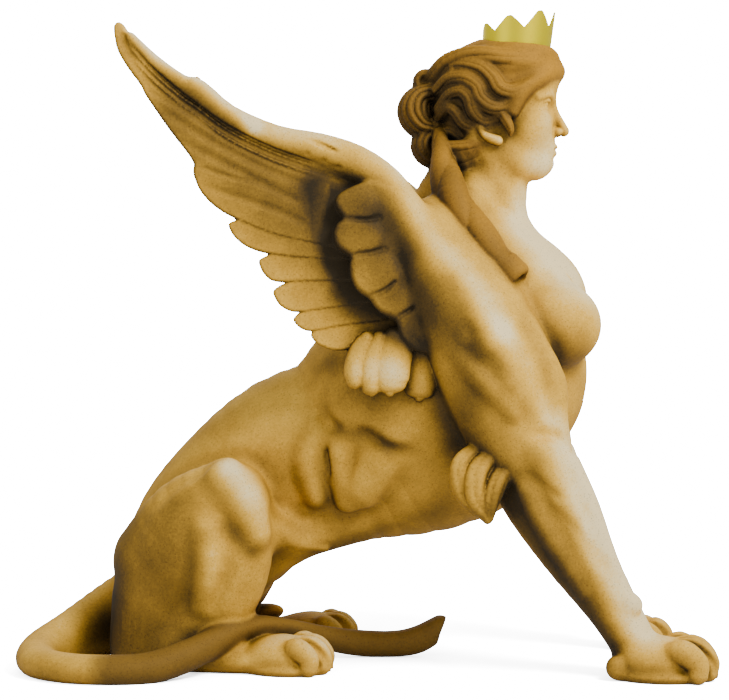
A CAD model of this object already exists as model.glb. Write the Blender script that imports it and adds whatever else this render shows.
# %% [markdown]
# # A seated sphinx carved in ochre stone
# The real object is one block of stone: a lion's body, a woman's head and breast, two raised wings and
# a tail that lies along the ground, with a small gilt crown set on the hair. This lesson models it the
# way a carver thinks: big masses first, muscles and feathers next, then locks of hair, toes and
# creases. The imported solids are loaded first, because every form has to stay where they are.

# %% The frame
import math
import time
from concurrent.futures import ThreadPoolExecutor

import bpy
import numpy as np
import openvdb
from mathutils import Matrix, Vector


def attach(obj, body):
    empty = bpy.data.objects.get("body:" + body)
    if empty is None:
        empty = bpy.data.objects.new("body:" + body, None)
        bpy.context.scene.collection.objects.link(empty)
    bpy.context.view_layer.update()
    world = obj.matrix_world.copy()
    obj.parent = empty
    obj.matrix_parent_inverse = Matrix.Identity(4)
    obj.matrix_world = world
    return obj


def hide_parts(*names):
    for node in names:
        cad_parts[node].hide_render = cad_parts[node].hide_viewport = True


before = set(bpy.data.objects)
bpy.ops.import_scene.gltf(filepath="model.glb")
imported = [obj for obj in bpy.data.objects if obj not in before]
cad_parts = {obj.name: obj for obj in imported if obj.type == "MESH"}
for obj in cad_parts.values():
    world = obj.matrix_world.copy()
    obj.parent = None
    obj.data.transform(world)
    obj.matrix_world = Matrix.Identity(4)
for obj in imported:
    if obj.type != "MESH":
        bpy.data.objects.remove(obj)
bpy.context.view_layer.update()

# %% [markdown]
# ## Looking at it
# The statue is seen from its right side, about level, a few degrees from a true profile. A long lens
# keeps the wings and the far legs from spreading. The light is large and soft, from above and in front,
# so the tops of the wing, the shoulder and the knee are the brightest parts of the stone. The backdrop
# is pure white for the camera alone, because a white room would light the hollows away. The floor shows
# nothing but the shadow on it.

# %% Camera, floor and light
LOOK_AT = Vector((-0.018, 0.023, 0.503))
LOOK_DISTANCE = 3.0
LOOK_TURN = math.radians(7.0)
SENSOR = 36.0
FOCAL_IN_PICTURE_WIDTHS = 1818.0 / 729.0

camera_data = bpy.data.cameras.new('camera')
camera_data.sensor_width = SENSOR
camera_data.lens = FOCAL_IN_PICTURE_WIDTHS * SENSOR
camera = bpy.data.objects.new('camera', camera_data)
bpy.context.scene.collection.objects.link(camera)
camera.location = LOOK_AT + LOOK_DISTANCE * Vector((math.sin(LOOK_TURN), -math.cos(LOOK_TURN), 0.0))
camera.rotation_euler = (LOOK_AT - camera.location).to_track_quat('-Z', 'Y').to_euler()
bpy.context.scene.camera = camera


def colour(hex_text):
    """An sRGB hex colour as the linear numbers that shaders use."""
    parts = [int(hex_text[i:i + 2], 16) / 255 for i in (1, 3, 5)]
    return tuple(p / 12.92 if p <= 0.04045 else ((p + 0.055) / 1.055) ** 2.4 for p in parts) + (1.0,)


def add_node(tree, kind, settings=None, inputs=None, output=0, stops=()):
    """Adds a node and gives one of its outputs. An input takes a value or another node's output.

    Stops are the places and colours of a colour ramp."""
    node = tree.nodes.new(kind)
    for name, value in (settings or {}).items():
        setattr(node, name, value)
    for key, value in (inputs or {}).items():
        if isinstance(value, bpy.types.NodeSocket):
            tree.links.new(value, node.inputs[key])
        else:
            node.inputs[key].default_value = value
    for index, (position, hex_text) in enumerate(stops):
        elements = node.color_ramp.elements
        element = elements[index] if index < 2 else elements.new(position)
        element.position = position
        element.color = colour(hex_text)
    return node.outputs[output]


def new_material(name, roughness):
    """A material with its node tree and its shader's inputs."""
    material = bpy.data.materials.new(name)
    material.use_nodes = True
    inputs = material.node_tree.nodes['Principled BSDF'].inputs
    inputs['Roughness'].default_value = roughness
    return material, material.node_tree, inputs


def area_light(name, place, aim, size, power, tint):
    data = bpy.data.lights.new(name, 'AREA')
    data.shape = 'DISK'
    data.size = size
    data.energy = power
    data.color = colour(tint)[:3]
    light = bpy.data.objects.new(name, data)
    light.location = place
    light.rotation_euler = (Vector(aim) - Vector(place)).to_track_quat('-Z', 'Y').to_euler()
    bpy.context.scene.collection.objects.link(light)


area_light('key', (2.0, -1.6, 2.7), (0.0, 0.0, 0.45), 1.2, 94, '#FFFAF2')
area_light('fill', (-2.2, -2.6, 1.2), (0.0, 0.0, 0.4), 2.4, 14, '#F4F6FF')
area_light('back', (-0.8, 2.6, 2.2), (0.0, 0.0, 0.6), 2.0, 22, '#FFFFFF')

LIGHT_FROM_ROUND = 0.62
WHITE_BEHIND = 24.0

world = bpy.data.worlds.new('studio')
world.use_nodes = True
sky = world.node_tree
lighting = sky.nodes['Background']
lighting.inputs['Color'].default_value = colour('#FFFFFF')
lighting.inputs['Strength'].default_value = LIGHT_FROM_ROUND
white = colour('#FFFFFF')
backdrop = add_node(sky, 'ShaderNodeBackground', inputs={'Color': white, 'Strength': WHITE_BEHIND})
seen = add_node(sky, 'ShaderNodeLightPath', output='Is Camera Ray')
choice = add_node(sky, 'ShaderNodeMixShader', inputs={0: seen, 1: lighting.outputs[0], 2: backdrop})
sky.links.new(choice, sky.nodes['World Output'].inputs['Surface'])
bpy.context.scene.world = world

FLOOR_REACH = 15.0
floor_mesh = bpy.data.meshes.new('floor')
floor_corners = [(FLOOR_REACH * x, FLOOR_REACH * y, 0) for x, y in ((-1, -1), (1, -1), (1, 1), (-1, 1))]
floor_mesh.from_pydata(floor_corners, [], [(0, 1, 2, 3)])
floor = bpy.data.objects.new('floor', floor_mesh)
bpy.context.scene.collection.objects.link(floor)
floor_paint, _, floor_inputs = new_material('pale floor', 0.9)
floor_inputs['Base Color'].default_value = colour('#F6F5F2')
floor_mesh.materials.append(floor_paint)
floor.is_shadow_catcher = True

# %% [markdown]
# ## Digital clay
# A carver's forms melt into each other: a shoulder has no edge where it meets the chest. Joining plain
# meshes leaves such edges, so here each form is a distance function instead: a rule that says how far
# any point is from its surface, below zero inside. Two forms are blended by mixing their distances
# where they are nearly equal, and each form says over how wide a band it melts in. All forms are
# written in parts of the height, one of which is a centimetre here.

# %% A smooth path through a few points
PART = 0.01
MIDDLE_X = 1.8
MIDDLE_Y = -2.3
FAR = 30.0
FELT = 0.3
THREADS = 4


def smooth_path(points, steps):
    """Samples of a smooth curve through the points, whatever their number of columns."""
    given = np.array(points, float)
    padded = np.vstack([2 * given[0] - given[1], given, 2 * given[-1] - given[-2]])
    samples = []
    for before, here, after, beyond in zip(padded, padded[1:], padded[2:], padded[3:]):
        for share in np.arange(steps) / steps:
            samples.append(0.5 * (
                2 * here + (after - before) * share
                + (2 * before - 5 * here + 4 * after - beyond) * share ** 2
                + (3 * here - before - 3 * after + beyond) * share ** 3))
    samples.append(given[-1])
    return np.array(samples)


def unit(vector):
    return vector / np.linalg.norm(vector)


def mirrored(rows, side):
    """Rows that start with x, y and z, as they are for side 1 and with y turned round for side -1."""
    return [(x, y * side, *others) for x, y, *others in rows]


# %% Forms
def oval_distance(a, b, c, first, second, third):
    """About how far a point is from an oval, from its three offsets and the oval's three radii."""
    a, b, c = a / first, b / second, c / third
    near = np.sqrt(a * a + b * b + c * c)
    a, b, c = a / first, b / second, c / third
    return near * (near - 1) / (np.sqrt(a * a + b * b + c * c) + 1e-4)


def ball_form(centre, radii, axes):
    cx, cy, cz = (float(value) for value in centre)
    rows = [[float(value) for value in axis] for axis in axes.T]
    sizes = [float(value) for value in radii]

    def distance(x, y, z):
        x, y, z = x - cx, y - cy, z - cz
        a, b, c = (x * row[0] + y * row[1] + z * row[2] for row in rows)
        return oval_distance(a, b, c, *sizes)
    return distance


def tube_form(start, end, side, run, strands, twist, groove):
    """One straight stretch of a tube, from one station to the next."""
    ax, ay, az, tall_a, wide_a = (float(value) for value in start)
    length = float(np.linalg.norm(end[:3] - start[:3]))
    along = (end[:3] - start[:3]) / length
    across = unit(np.array(side, float) - np.dot(side, along) * along)
    frame_rows = [[float(value) for value in axis] for axis in (along, across, np.cross(along, across))]
    tall_gain, wide_gain = float(end[3] - start[3]), float(end[4] - start[4])
    oval = max(abs(start[3] - start[4]), abs(end[3] - end[4])) > 0.01

    def distance(x, y, z):
        x, y, z = x - ax, y - ay, z - az
        far, flat, up = (x * row[0] + y * row[1] + z * row[2] for row in frame_rows)
        share = np.minimum(np.maximum(far * (1 / length), 0), 1)
        over = far - share * length
        tall = tall_a + share * tall_gain
        if strands:
            wave = np.abs(np.sin(0.5 * strands * np.arctan2(up, flat) + twist * (run + share * length)))
            cut = 1 + groove * (wave - 0.6)
            tall = tall * cut
        if not oval:
            return np.sqrt(flat * flat + up * up + over * over) - tall
        wide = wide_a + share * wide_gain
        if strands:
            wide = wide * cut
        return oval_distance(flat, up, over, wide, tall, np.minimum(tall, wide))
    return distance


def plate_form(outline, middle, half_thickness, rim):
    """A flat piece cut to an outline in x and z, with a rounded rim. Middle gives its y, from x and z."""
    corners = outline
    for _ in range(2):
        ahead = corners[1:] + corners[:1]
        corners = [(start[0] + (end[0] - start[0]) * share, start[1] + (end[1] - start[1]) * share)
                   for start, end in zip(corners, ahead) for share in (0.2, 0.8)]

    def distance(x, y, z):
        nearest = np.full(x.shape, FAR ** 2, np.float32)
        inside = np.zeros(x.shape, bool)
        for (ax, az), (bx, bz) in zip(corners, corners[1:] + corners[:1]):
            across, up = bx - ax, bz - az
            from_x, from_z = x - ax, z - az
            share = np.clip((from_x * across + from_z * up) * (1 / (across ** 2 + up ** 2)), 0, 1)
            nearest = np.minimum(nearest, (from_x - share * across) ** 2 + (from_z - share * up) ** 2)
            if az != bz:
                spans = (az <= z) != (bz <= z)
                inside ^= spans & (from_x < from_z * (across / up))
        aside = np.sqrt(nearest) * np.where(inside, -1, 1) + rim
        off = np.abs(y - middle(x, z)) - half_thickness + rim
        outer = np.sqrt(np.maximum(aside, 0) ** 2 + np.maximum(off, 0) ** 2)
        return outer + np.minimum(np.maximum(aside, off), 0) - rim
    return distance


def crease_form(start, end, width, amounts):
    """How strongly a point feels one stretch of a crease, from 0 to amounts."""
    sx, sy, sz = (float(value) for value in start)
    step = [float(value) for value in end - start]
    square = sum(value * value for value in step)

    def strength(x, y, z):
        x, y, z = x - sx, y - sy, z - sz
        share = np.minimum(np.maximum((x * step[0] + y * step[1] + z * step[2]) * (1 / square), 0), 1)
        away = (x - share * step[0]) ** 2 + (y - share * step[1]) ** 2 + (z - share * step[2]) ** 2
        return -np.exp(away * (-1 / width ** 2)) * (amounts[0] + share * (amounts[1] - amounts[0]))
    return strength


# %% The clay
class Clay:
    """Forms that are added, cut or pressed in turn. A form is one or more parts, each with its box."""

    def __init__(self):
        self.ways = []
        self.parts = []
        self.owners = []
        self.lows = []
        self.highs = []

    def new_form(self, way, blend, depth=0.0):
        self.ways.append((way, blend, depth))

    def new_part(self, distance, low, high):
        """A part of the newest form. Its box is widened by how far the form melts."""
        margin = self.ways[-1][1] + FELT
        self.parts.append(distance)
        self.owners.append(len(self.ways) - 1)
        self.lows.append(np.array(low) - margin)
        self.highs.append(np.array(high) + margin)

    def ball(self, centre, radii, turn=0.0, blend=2.0, way='add'):
        """An ellipsoid, turned about the Y axis by some degrees."""
        radii = np.array(radii, float)
        axes = np.array(Matrix.Rotation(math.radians(turn), 3, 'Y'))
        reach = np.sqrt(((axes * radii) ** 2).sum(axis=1))
        centre = np.array(centre, float)
        self.new_form(way, blend)
        self.new_part(ball_form(centre, radii, axes), centre - reach, centre + reach)

    def limb(self, stations, side=(0, 1, 0), blend=1.5, steps=3, strands=0, twist=0.0, groove=0.0):
        """A tube with round ends. A station is x, y, z, half height and, if given, half width along side.

        Strands are grooves along it, groove deep as a share of its radius, turned by twist along it."""
        line = smooth_path([row if len(row) == 5 else (*row, row[3]) for row in stations], steps)
        run = 0.0
        self.new_form('add', blend)
        for start, end in zip(line, line[1:]):
            widest = max(start[3], end[3], start[4], end[4])
            self.new_part(tube_form(start, end, side, run, strands, twist, groove),
                          np.minimum(start[:3], end[:3]) - widest, np.maximum(start[:3], end[:3]) + widest)
            run += float(np.linalg.norm(end[:3] - start[:3]))

    def limbs(self, table, side, **options):
        """Tubes of one side. A row of the table is how far the tube melts, then its stations."""
        for blend, *stations in table:
            self.limb(mirrored(stations, side), blend=blend, **options)

    def feather(self, points, half_width, half_thickness, blend):
        """A flat blade with a rounded tip. Its face looks out to the side."""
        path = smooth_path(points, 4)
        shares = np.linspace(0, 1, len(path))
        round_tip = np.sqrt(np.clip(1 - np.clip((shares - 0.66) / 0.35, 0, 1) ** 2.2, 0.02, 1))
        narrow_root = 1 - 0.35 * np.clip((0.3 - shares) / 0.3, 0, 1) ** 2
        tall = half_width * round_tip * narrow_root
        wide = half_thickness * np.sqrt(round_tip)
        self.limb([(*point, t, w) for point, t, w in zip(path, tall, wide)], blend=blend, steps=1)

    def plate(self, outline, middle, half_thickness, rim, blend):
        """A flat piece with a rounded rim, cut to an outline in x and z."""
        corners = np.array(outline, float)
        depths = middle(corners[:, 0], corners[:, 1])
        low = (corners[:, 0].min(), depths.min() - half_thickness, corners[:, 1].min())
        high = (corners[:, 0].max(), depths.max() + half_thickness, corners[:, 1].max())
        self.new_form('add', blend)
        self.new_part(plate_form(outline, middle, half_thickness, rim), low, high)

    def crease(self, points, width, depth):
        """A groove along a line, or a ridge where the depth is below zero. It fades out at both ends."""
        line = smooth_path(points, 4)
        shares = np.linspace(0, 1, len(line))
        amounts = np.sqrt(np.clip(4 * shares * (1 - shares), 0, 1))
        self.new_form('press', 0.0, depth)
        for index, (start, end) in enumerate(zip(line, line[1:])):
            self.new_part(crease_form(start, end, width, (float(amounts[index]), float(amounts[index + 1]))),
                          np.minimum(start, end) - 2 * width, np.maximum(start, end) + 2 * width)

    def creases(self, table, side):
        """Creases of one side. A row of the table is the width and the depth, then the points."""
        for width, depth, *points in table:
            self.crease(mirrored(points, side), width, depth)

    def ready(self):
        self.lows = np.array(self.lows)
        self.highs = np.array(self.highs)
        return self

    def mixed(self, body, distance, owner):
        """The body with one more form worked into it."""
        way, blend, depth = self.ways[owner]
        if way == 'press':
            return body - distance * depth
        if way == 'cut':
            distance = -distance
            overlap = np.maximum(blend - np.abs(body - distance), 0)
            return np.maximum(body, distance) + overlap * overlap * (0.25 / blend)
        overlap = np.maximum(blend - np.abs(body - distance), 0)
        return np.minimum(body, distance) - overlap * overlap * (0.25 / blend)

    def depth(self, x, y, z, slack=0.0):
        """The distance from the skin at the points, below zero inside."""
        low = np.array([x.min(), y.min(), z.min()]) - slack
        high = np.array([x.max(), y.max(), z.max()]) + slack
        felt = np.flatnonzero(np.all((self.lows <= high) & (self.highs >= low), axis=1))
        body = np.full(x.shape, FAR, np.float32)
        distance = None
        owner = None
        for index in felt:
            if self.owners[index] != owner:
                if distance is not None:
                    body = self.mixed(body, distance, owner)
                owner = self.owners[index]
                distance = self.parts[index](x, y, z)
            else:
                distance = np.minimum(distance, self.parts[index](x, y, z))
        return body if distance is None else self.mixed(body, distance, owner)


# %% [markdown]
# ## From clay to a mesh
# The distances are read on a fine grid, block by block. A few samples say which small cubes of a block
# lie near the skin, and only those are read in full. OpenVDB, which Blender carries for its volumes and
# its remesh modifier, turns that grid into a mesh. Decimate then spends the triangles where the surface
# bends. The normals are read from the clay and not from the triangles, so smooth stone stays smooth.

# %% Reading the skin
CUBE = 4
CUBES = 10
BLOCK = CUBE * CUBES
BAND_IN_VOXELS = 3.0
HALF_DIAGONAL = 0.87
STEEPEST = 1.6
SPARE_VOXELS = 1.5


def skin(clay, voxel, limits, region):
    """The mesh of the clay inside a region, as points in parts of the height, and its faces."""
    band = BAND_IN_VOXELS * voxel
    grid = openvdb.FloatGrid(band)
    near_enough = (CUBE * HALF_DIAGONAL * STEEPEST + SPARE_VOXELS) * voxel
    first = np.floor(limits[0] / voxel).astype(int)
    last = np.ceil(limits[1] / voxel).astype(int)
    corners = [(i, j, k) for i in range(first[0], last[0], BLOCK) for j in range(first[1], last[1], BLOCK)
               for k in range(first[2], last[2], BLOCK)]
    inner = np.array(np.meshgrid(*[np.arange(CUBE)] * 3, indexing='ij')).reshape(3, 1, -1)
    cubes = np.array(np.meshgrid(*[np.arange(CUBES)] * 3, indexing='ij')).reshape(3, -1)

    def cut(x, y, z):
        return np.maximum(clay.depth(x, y, z), region(x, y, z))

    def read_block(corner):
        start = np.array(corner).reshape(3, 1)
        middles = ((start + cubes * CUBE + CUBE / 2 - 0.5) * voxel).astype(np.float32)
        coarse = cut(*middles)
        near = np.abs(coarse) < near_enough
        if not near.any():
            return corner, None, coarse.min()
        body = np.repeat(np.sign(coarse)[:, None] * band, CUBE ** 3, axis=1).astype(np.float32)
        voxels = (start[:, :, None] + cubes[:, near, None] * CUBE + inner).reshape(3, -1)
        fine = cut(*(voxels * voxel).astype(np.float32))
        body[near] = np.clip(fine, -band, band).reshape(-1, CUBE ** 3)
        body = body.reshape(CUBES, CUBES, CUBES, CUBE, CUBE, CUBE).transpose(0, 3, 1, 4, 2, 5)
        return corner, np.ascontiguousarray(body.reshape(BLOCK, BLOCK, BLOCK)), 0

    with ThreadPoolExecutor(THREADS) as pool:
        for corner, body, hint in pool.map(read_block, corners):
            if body is not None:
                grid.copyFromArray(body, ijk=corner)
            elif hint < 0:
                grid.fill(corner, tuple(value + BLOCK - 1 for value in corner), -band)
    points, triangles, quads = grid.convertToPolygons(0.0, 0.0)
    return np.asarray(points) * voxel, np.asarray(triangles), np.asarray(quads)


# %% Reading the clay at loose points
CELL = 9.0


def read_points(clay, points, slack=0.0):
    """The clay's distance at each point, worked out in groups of neighbours."""
    cells = np.floor(points / CELL).astype(np.int64) + 64
    group = (cells[:, 0] * 128 + cells[:, 1]) * 128 + cells[:, 2]
    order = np.argsort(group, kind='stable')
    cuts = np.flatnonzero(np.diff(group[order])) + 1
    result = np.empty(len(points), np.float32)

    def read_group(members):
        near = points[members].astype(np.float32)
        result[members] = clay.depth(near[:, 0], near[:, 1], near[:, 2], slack)

    with ThreadPoolExecutor(THREADS) as pool:
        list(pool.map(read_group, np.split(order, cuts)))
    return result


def clay_normals(clay, points, step):
    """Which way the skin faces at each point, from four readings round it."""
    corners = np.array([(1, -1, -1), (-1, -1, 1), (-1, 1, -1), (1, 1, 1)], float)
    samples = (points[None] + corners[:, None] * step).reshape(-1, 3)
    readings = read_points(clay, samples).reshape(4, -1)
    total = np.einsum('cp,cd->pd', readings, corners)
    return total / np.maximum(np.linalg.norm(total, axis=1, keepdims=True), 1e-6)


# %% [markdown]
# ## The body
# The lion's body rises from the rump, on the left, to the chest and the neck. Each mass is one row of
# stations along its middle line with a half height and a half width. The muscles are lower forms that
# melt in over two or three centimetres, and the folds of the flank are shallow creases pressed in last.
# The tables hold the side with y above zero, and each function lays both sides.

# %% Trunk and neck
SIDES = (-1, 1)
TRUNK = [
    (-29.6, 0, 12.5, 11.6, 12.3), (-25.6, 0, 19.5, 13.0, 12.3), (-20.2, 0, 26.5, 12.8, 12.8),
    (-12, 0, 32.3, 14.0, 12.3), (-2, 0, 34.7, 16.1, 12.8), (9.4, 0, 41.0, 20.8, 15.3),
    (17, 0, 48, 18.8, 16.3), (21.2, 0, 57.5, 13.4, 15.8), (20.4, 0, 64, 9.0, 12)]
NECK = [(19, 0, 63, 8.6, 9.3), (19.4, 0, 71, 7.2, 6.6), (20.6, 0, 78, 6.3, 5.6), (21.4, 0, 84, 6.1, 5.5)]
NAPE = [(17.5, 0, 84, 4.2), (14.5, 0, 77.5, 4.6), (12, 0, 71, 6.0)]
SHOULDER_SLOPE = [
    (3.0, (19.5, 3, 77, 3.6), (15.5, 8, 71.5, 5.0), (10.5, 13, 67, 6.4)),
    (3.0, (16.5, 12.5, 63, 6.0), (17, 14, 58, 7.5))]
COLLAR_AND_NECK_LINE = [
    (2.5, (20, 11, 67.6, 2.2), (26.4, 3.0, 66.8, 1.5)),
    (1.8, (18.8, 5.9, 84.0, 1.3), (22.4, 4.6, 77.0, 1.2), (25.8, 1.7, 69.5, 0.9))]


def trunk(clay):
    clay.limb(TRUNK, blend=1.0, steps=4)
    clay.ball((17, 0, 38.5), (14.5, 12.7, 14.3), blend=2.5)
    clay.ball((19.4, 0, 45.4), (16.7, 14.3, 15.2), blend=2.5)
    clay.ball((26.9, 0, 58.8), (9.3, 9.3, 8.4), blend=3.0)
    clay.limb(NECK, blend=3.5)
    clay.limb(NAPE, blend=2.5)
    for side in SIDES:
        clay.limbs(SHOULDER_SLOPE, side)
        clay.ball((30.5, 8.4 * side, 54.3), (8.2, 7.7, 7.2), blend=1.6)
        clay.limbs(COLLAR_AND_NECK_LINE, side)


# %% Legs
FORELEG_Y = 13.5
FAR_FORELEG_Y = 10.5
FAR_FORELEG_SETBACK = 2.4
SETBACK_SHARES = [0.4, 0.5, 0.6, 0.6, 0.5]
FORELEG = [(26.5, 36.5, 6.8, 6.0), (28.8, 29.4, 6.5, 5.8), (34.2, 20.2, 5.5, 4.9), (40.1, 11.0, 4.0, 4.0),
           (43.6, 5.2, 3.5, 4.0)]
HIND_FOOT_Y = 17.5
FAR_HIND_FOOT_Y = 13.0
FAR_SHIN_SETBACK = 2.6
HAUNCH = [(-28.7, 11.5, 14.5, 11.1, 8.8), (-24, 13.5, 21.5, 10.0, 7.6), (-19.5, 15.2, 27.2, 6.3, 5.4)]
HAUNCH_BASE = [(-31.0, 12.6, 10.5, 8.1, 7.6), (-31.4, 12.6, 3.5, 8.1, 7.6)]
FLANK_WEB = [
    (2.5, (-14.5, 12, 21.5, 3.3), (-8, 9, 20.6, 2.7), (0, 5.5, 22.5, 2.7)),
    (2.5, (-17.5, 7, 15.2, 4.2), (-14.2, 7, 17.8, 4.0), (-9.0, 6, 20.8, 4.0), (-2.0, 5, 24.0, 4.0))]


def forelegs(clay):
    """The straight forelegs. The far one stands a little behind the near one and is slimmer."""
    for side, spread, back, slim in ((-1, FORELEG_Y, 0, 1.0), (1, FAR_FORELEG_Y, FAR_FORELEG_SETBACK, 0.9)):
        upper_arm = [(11, 15.5, 66, 6.6, 5.4), (17.5, 16.5, 57, 8.4, 6.1),
                     (22.5 - 0.2 * back, 16.5, 46.5, 8.8, 6.4), (26 - 0.4 * back, spread + 2.5, 36, 7.4, 6.0)]
        clay.limb(mirrored(upper_arm, side), blend=2.2, steps=4)
        clay.limb([(x - back * share, (spread + 1.5) * side, z, tall * slim, wide)
                   for (x, z, tall, wide), share in zip(FORELEG, SETBACK_SHARES)], blend=2.5, steps=4)


def hindlegs(clay):
    """The folded hind legs: a broad haunch, a high knee and the shin down to the hock."""
    for side, back in ((-1, 0), (1, FAR_SHIN_SETBACK)):
        shin = [(-19.5, 15.5, 26, 6.0, 5.2), (-18.6 - back, 16.0, 17.5, 5.8, 5.1),
                (-21.5 - back, 16.0, 9.5, 5.3, 4.9), (-26 - back, 16.0, 5.0, 4.5, 4.7)]
        clay.limb(mirrored(HAUNCH, side), blend=2.6, steps=4)
        clay.limb(mirrored(HAUNCH_BASE, side), blend=1.2)
        clay.limb(mirrored(shin, side), blend=1.6, steps=4)
        clay.limbs(FLANK_WEB, side)


# %% Muscles
RIBS_AND_UPPER_ARM = [
    (1.6, (10.5, 12.4, 42, 3.6), (5.5, 13.0, 35, 3.6), (1.0, 11.6, 28.4, 3.2)),
    (1.4, (-0.5, 10.6, 40.5, 2.6), (-2.6, 11.8, 34.0, 2.3), (-1.4, 11.6, 26.4, 1.9)),
    (1.4, (-5.4, 10.6, 38.0, 2.4), (-7.8, 11.2, 32.5, 2.2), (-6.4, 10.8, 27.0, 1.8)),
    (1.3, (16.0, 19.4, 60, 2.3), (20.2, 20.8, 52.6, 3.1), (24.6, 20.8, 45.4, 3.0), (28.0, 19.4, 38.6, 2.2)),
    (0.9, (16.5, 20.0, 50.6, 1.7), (20.8, 21.8, 46.0, 2.1), (25.4, 21.6, 41.0, 1.7)),
    (1.2, (27.0, 17.8, 53.5, 2.0), (31.0, 18.0, 45.5, 2.3), (31.6, 17.6, 38.4, 1.8))]
KNEE_AND_SHIN = [
    (2.0, (-19.6, 18.6, 30.6, 2.9), (-16.6, 19.2, 27.2, 3.1), (-14.8, 19.0, 21.8, 2.3)),
    (1.4, (-22.0, 20.2, 22.4, 2.7), (-21.6, 20.2, 16.6, 2.8), (-22.8, 19.4, 10.6, 1.9)),
    (0.9, (-17.4, 19.4, 17.0, 1.4), (-19.0, 19.8, 12.0, 1.4), (-21.6, 19.0, 8.0, 1.0))]
FLANK_LINE = [(0.7, (-13.4, 13.6, 22.0, 1.1), (-9.4, 11.6, 19.6, 0.8), (-5.2, 9.6, 18.6, 0.6))]
FOREARM_STRAPS = [
    [(29.6, 20.4, 35.0, 2.7), (32.6, 19.8, 28.0, 2.4), (36.6, 18.4, 20.0, 1.7), (40.4, 17.6, 12.6, 1.1)],
    [(33.4, 18.4, 32.6, 2.2), (36.6, 17.8, 26.0, 1.9), (39.8, 17.2, 18.0, 1.3), (42.6, 16.8, 11.4, 0.9)],
    [(27.4, 20.2, 29.0, 1.9), (31.4, 19.4, 21.6, 1.7), (36.0, 18.0, 13.6, 1.1)]]


def muscles(clay):
    """Low swellings on the ribs, flank, arms and haunches."""
    for side, setback in ((-1, 0), (1, FAR_FORELEG_SETBACK)):
        clay.ball((6, 6.0 * side, 43), (12.3, 10.0, 14.3), 20, blend=3.0)
        clay.limbs(RIBS_AND_UPPER_ARM, side)
        clay.ball((-25, 18.2 * side, 21), (6.3, 3.0, 9.3), 30, blend=2.0)
        clay.limbs(KNEE_AND_SHIN, side)
        clay.ball((-21.6, 18.6 * side, 3.6), (5.0, 1.9, 1.8), -10, blend=0.8)
        clay.limbs(FLANK_LINE, side)
        for strap in FOREARM_STRAPS:
            clay.limb([(x - setback * min(1.0, 0.4 + (36 - z) / 30), y * side, z, radius)
                       for x, y, z, radius in strap], blend=1.3)
        clay.ball((43.2 - setback, 17.6 * side, 11.6), (1.7, 1.0, 1.5), 30, blend=1.2)


# %% Folds of the haunch, flank, arm and breast
FOLDS = [
    (1.2, 0.8, (-31.0, 19, 25.6), (-27.6, 19, 29.4), (-23.0, 19, 32.4), (-20.2, 19, 33.6)),
    (1.5, 1.2, (-22.6, 23, 25.6), (-18.6, 23, 23.4), (-15.4, 22, 19.4)),
    (0.8, 0.6, (-19.4, 22.5, 14.6), (-21.0, 22.5, 9.4)),
    (1.2, 1.0, (-13.2, 14, 32.6), (-11.4, 13.6, 27.4), (-8.2, 12.6, 22.6), (-3.0, 11.6, 20.6)),
    (1.2, 1.1, (-5.0, 12.5, 48.0), (-6.6, 13.0, 43.6), (-5.0, 13.0, 39.4), (-2.0, 13.2, 37.6)),
    (1.2, 1.0, (0.6, 14, 37.8), (4.6, 15.4, 35.6), (10.6, 15.8, 33.0)),
    (0.8, 0.7, (-4.4, 12.6, 35.6), (-3.4, 12.4, 29.6)),
    (0.8, 0.6, (1.4, 13.6, 33.6), (1.0, 13.2, 27.6)),
    (1.4, 0.7, (32.0, 19.5, 36.6), (29.4, 22, 37.6), (26.4, 23.0, 41.4)),
    (1.5, 0.7, (18.4, 22.5, 50.4), (21.6, 23.4, 48.6), (23.6, 23.6, 46.6)),
    (1.2, 0.45, (24.6, 22.6, 33.4), (29.0, 21.6, 26.6), (35.4, 19.4, 15.6), (39.0, 18.4, 9.4)),
    (1.0, 0.4, (31.6, 21.4, 27.0), (35.4, 19.9, 22.4), (39.6, 18.6, 15.6)),
    (0.8, 0.3, (28.6, 22.4, 30.6), (31.6, 21.8, 28.6), (33.0, 21.0, 28.0)),
    (0.4, 0.22, (26.8, 8, 66.0), (31.0, 7, 63.6), (35.2, 6, 60.4)),
    (1.5, 0.9, (14.6, 20.6, 62.0), (18.0, 22.0, 55.0), (20.6, 22.6, 51.0)),
    (1.2, 0.8, (26.4, 16.6, 52.0), (31.0, 15.6, 46.0), (33.6, 15.4, 41.0))]


def folds(clay):
    for side in SIDES:
        clay.creases(FOLDS, side)


# %% [markdown]
# ## Paws, tufts and tail
# A lion's paw is a soft pad with four toes, each a bent sausage that is highest at the knuckle. The tail
# leaves the rump, lies on the ground round the near haunch, climbs over the foot and ends in a blunt
# brush. A curl of fur stands behind each elbow.

# %% Paws
TOES = 4


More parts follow.
